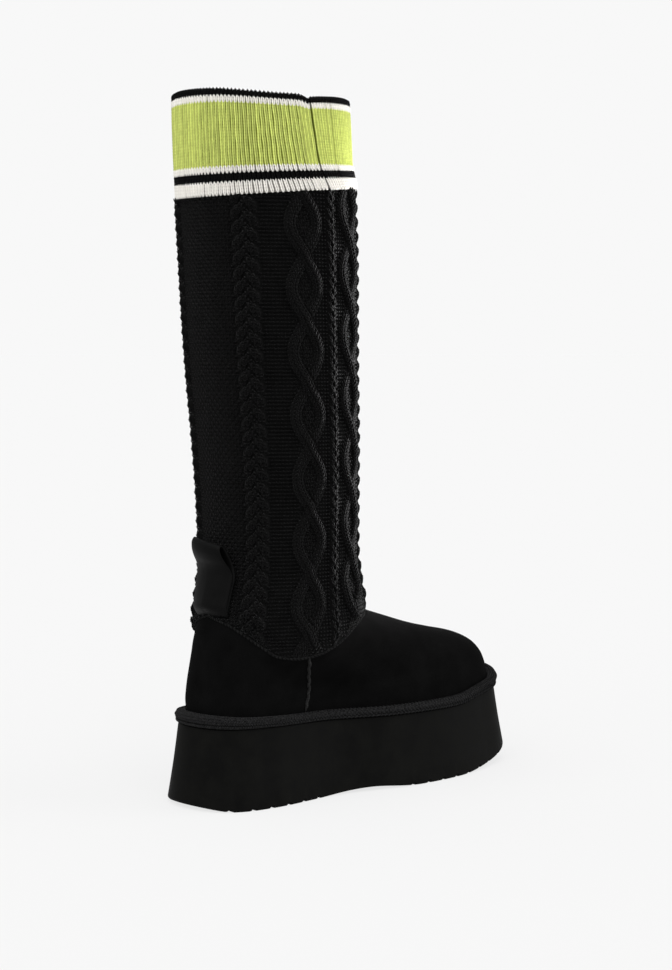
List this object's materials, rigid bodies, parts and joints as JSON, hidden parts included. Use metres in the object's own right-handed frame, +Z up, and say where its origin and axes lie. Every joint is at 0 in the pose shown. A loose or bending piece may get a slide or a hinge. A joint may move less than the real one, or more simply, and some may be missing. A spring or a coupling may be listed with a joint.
{
  "type": "sweater boot",
  "caption": "Tall knitted sweater boot: cable-knit shaft with a striped ribbed cuff, suede foot, textile binding and a flared platform sole.",
  "frame": {"origin": "centre of the boot's footprint on the floor it stands on", "axes": "+X points to the toe, +Y to the wearer's left, which is the inner side of this right boot, +Z up"},
  "size_m": [0.285, 0.1096, 0.4621],
  "materials": {
    "platform_foam": "matt, fine mottled",
    "binding_textile": "coarse woven tape",
    "suede": "napped suede",
    "footbed_fabric": "soft pile",
    "black_knit": "cable knit",
    "rib_knit": "ribbed knit with stripes",
    "tab_strap": "smooth strap"
  },
  "bodies": {
    "root": {"sole": "platform_foam", "binding": "binding_textile", "upper": "suede", "insole": "footbed_fabric", "shaft": "black_knit", "cuff": "rib_knit", "pull_tab": "tab_strap"}
  },
  "joints": []
}
